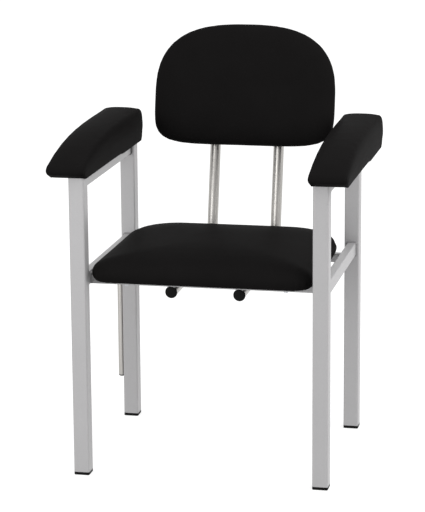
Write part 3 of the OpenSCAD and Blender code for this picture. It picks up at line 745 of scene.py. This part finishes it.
for side in ("left", "right"):
    low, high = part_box("arm_pad_" + side)
    mid, arm_half = (low + high) / 2, (high - low) / 2
    covered_pad(
        "arm_pad_cover_" + side, "arm_pad_" + side, pocket_depth=0.0123,
        to_flat=Matrix.Translation((-mid.x, -mid.y, -low.z)), voxel=0.004, shrink=0.0006, reach=0.002, rounds=3,
        top_rounds=24, firm=0.9, hang=0.0045, width=0.0055,
        crease=arm_crease, clear=off_nose,
    )

# Dust covers: black spunbonded polypropylene, its edge turned under and stapled
# to the seat's board from below and to the back's from behind. It is drawn
# tight, so it puckers a little from staple to staple and hangs in between.
spunbond, tree, shader, where = new_material("black_spunbonded_fabric")
# The embossed points lie 2 mm apart, and long loose fibres cross them
point = add_node(tree, "ShaderNodeTexVoronoi", {"Vector": where, "Scale": 1000 / 2.0, "Randomness": 0.25})
hair = add_node(tree, "ShaderNodeTexNoise", {"Vector": where, "Scale": 1000 / 0.8, "Detail": 3.0})
tone = add_node(tree, "ShaderNodeMix", {0: hair.outputs[0], 6: linear("#121212"), 7: linear("#272727")},
                data_type="RGBA")
dent = add_node(tree, "ShaderNodeBump", {"Height": point.outputs[0], "Strength": 0.5, "Distance": 0.0003})
tree.links.new(tone.outputs[2], shader.inputs["Base Color"])
tree.links.new(dent.outputs[0], shader.inputs["Normal"])
shader.inputs["Roughness"].default_value = 0.9
shader.inputs["Specular IOR Level"].default_value = 0.15


def dust_cover(name, node, to_flat, staples, sag, clear):
    """A stapled cover from its CAD node, laid flat by to_flat with its outer face down, and its staples."""
    bm = bmesh.new()
    bm.from_mesh(nodes[node].data)
    bmesh.ops.transform(bm, matrix=to_flat, verts=bm.verts)
    low, high = box_of(bm.verts)
    mid = (low + high) / 2
    flat = [v.co.xy - mid.xy for v in bm.verts]
    bm.free()
    outline = [flat[i] for i in geometry.convex_hull_2d(flat)]
    rim = sorted(outline, key=lambda p: math.atan2(p.y, p.x))

    def reach(angle):
        """How far the rim lies from the middle in a direction."""
        way = Vector((math.cos(angle), math.sin(angle)))
        after = next((i for i, p in enumerate(rim) if math.atan2(p.y, p.x) >= angle), 0)
        a, b = rim[after - 1], rim[after]
        return a.cross(b) / way.cross(b - a)

    cloth_wall, pucker_depth = 0.0003, 0.0002
    bm = bmesh.new()
    bmesh.ops.create_grid(bm, x_segments=56, y_segments=56, size=1)
    for v in bm.verts:
        share = max(abs(v.co.x), abs(v.co.y))
        angle = math.atan2(v.co.y, v.co.x)
        out = Vector((math.cos(angle), math.sin(angle), 0))
        pucker = math.cos(angle * staples) * share ** 6
        v.co = mid + out * share * (reach(angle) - pucker_depth + pucker_depth * pucker)
        hem = 0.0002 if share > 0.93 else 0
        loose = (1 - share ** 2) * (0.8 + 0.4 * noise.noise(v.co * 14)) * clear(v.co)
        v.co.z = high.z - 0.0004 - hem - 0.0001 * pucker - sag * loose
    bmesh.ops.transform(bm, matrix=to_flat.inverted(), verts=bm.verts)
    cover = shown_piece(name, finished_mesh(bm, name), spunbond)
    wall = cover.modifiers.new("wall", "SOLIDIFY")
    wall.thickness = cloth_wall
    wall.offset = 0
    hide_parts(node)

    # Each staple lies along the rim, 6 mm inside it
    inside = 0.006
    staple = Matrix.Diagonal((0.011, 0.0012, 0.0006, 1))
    bm = bmesh.new()
    for i in range(staples):
        angle = -math.pi + 2 * math.pi * (i + 0.5) / staples
        at, ahead = [
            mid + Vector((math.cos(a), math.sin(a), 0)) * (reach(a) - inside) for a in (angle, angle + 0.02)
        ]
        turned = Matrix.Rotation(math.atan2(ahead.y - at.y, ahead.x - at.x), 4, "Z")
        if clear(at) == 1:
            place = Matrix.Translation((at.x, at.y, low.z - 0.00005))
            bmesh.ops.create_cube(bm, size=1, matrix=place @ turned @ staple)
    bmesh.ops.bevel(bm, geom=bm.edges[:], affect="EDGES", offset=0.0002, segments=2, profile=0.5, material=-1)
    bmesh.ops.transform(bm, matrix=to_flat.inverted(), verts=bm.verts)
    pins = shown_piece(name + "_staples", finished_mesh(bm, name + "_staples"), zinc)


dust_cover("seat_cover_cloth", "seat_dust_cover", seat_flat, 44, 0.004, off_cross_rails)
dust_cover("back_cover_cloth", "back_dust_cover", back_flat, 36, 0.001, off_back_tubes)
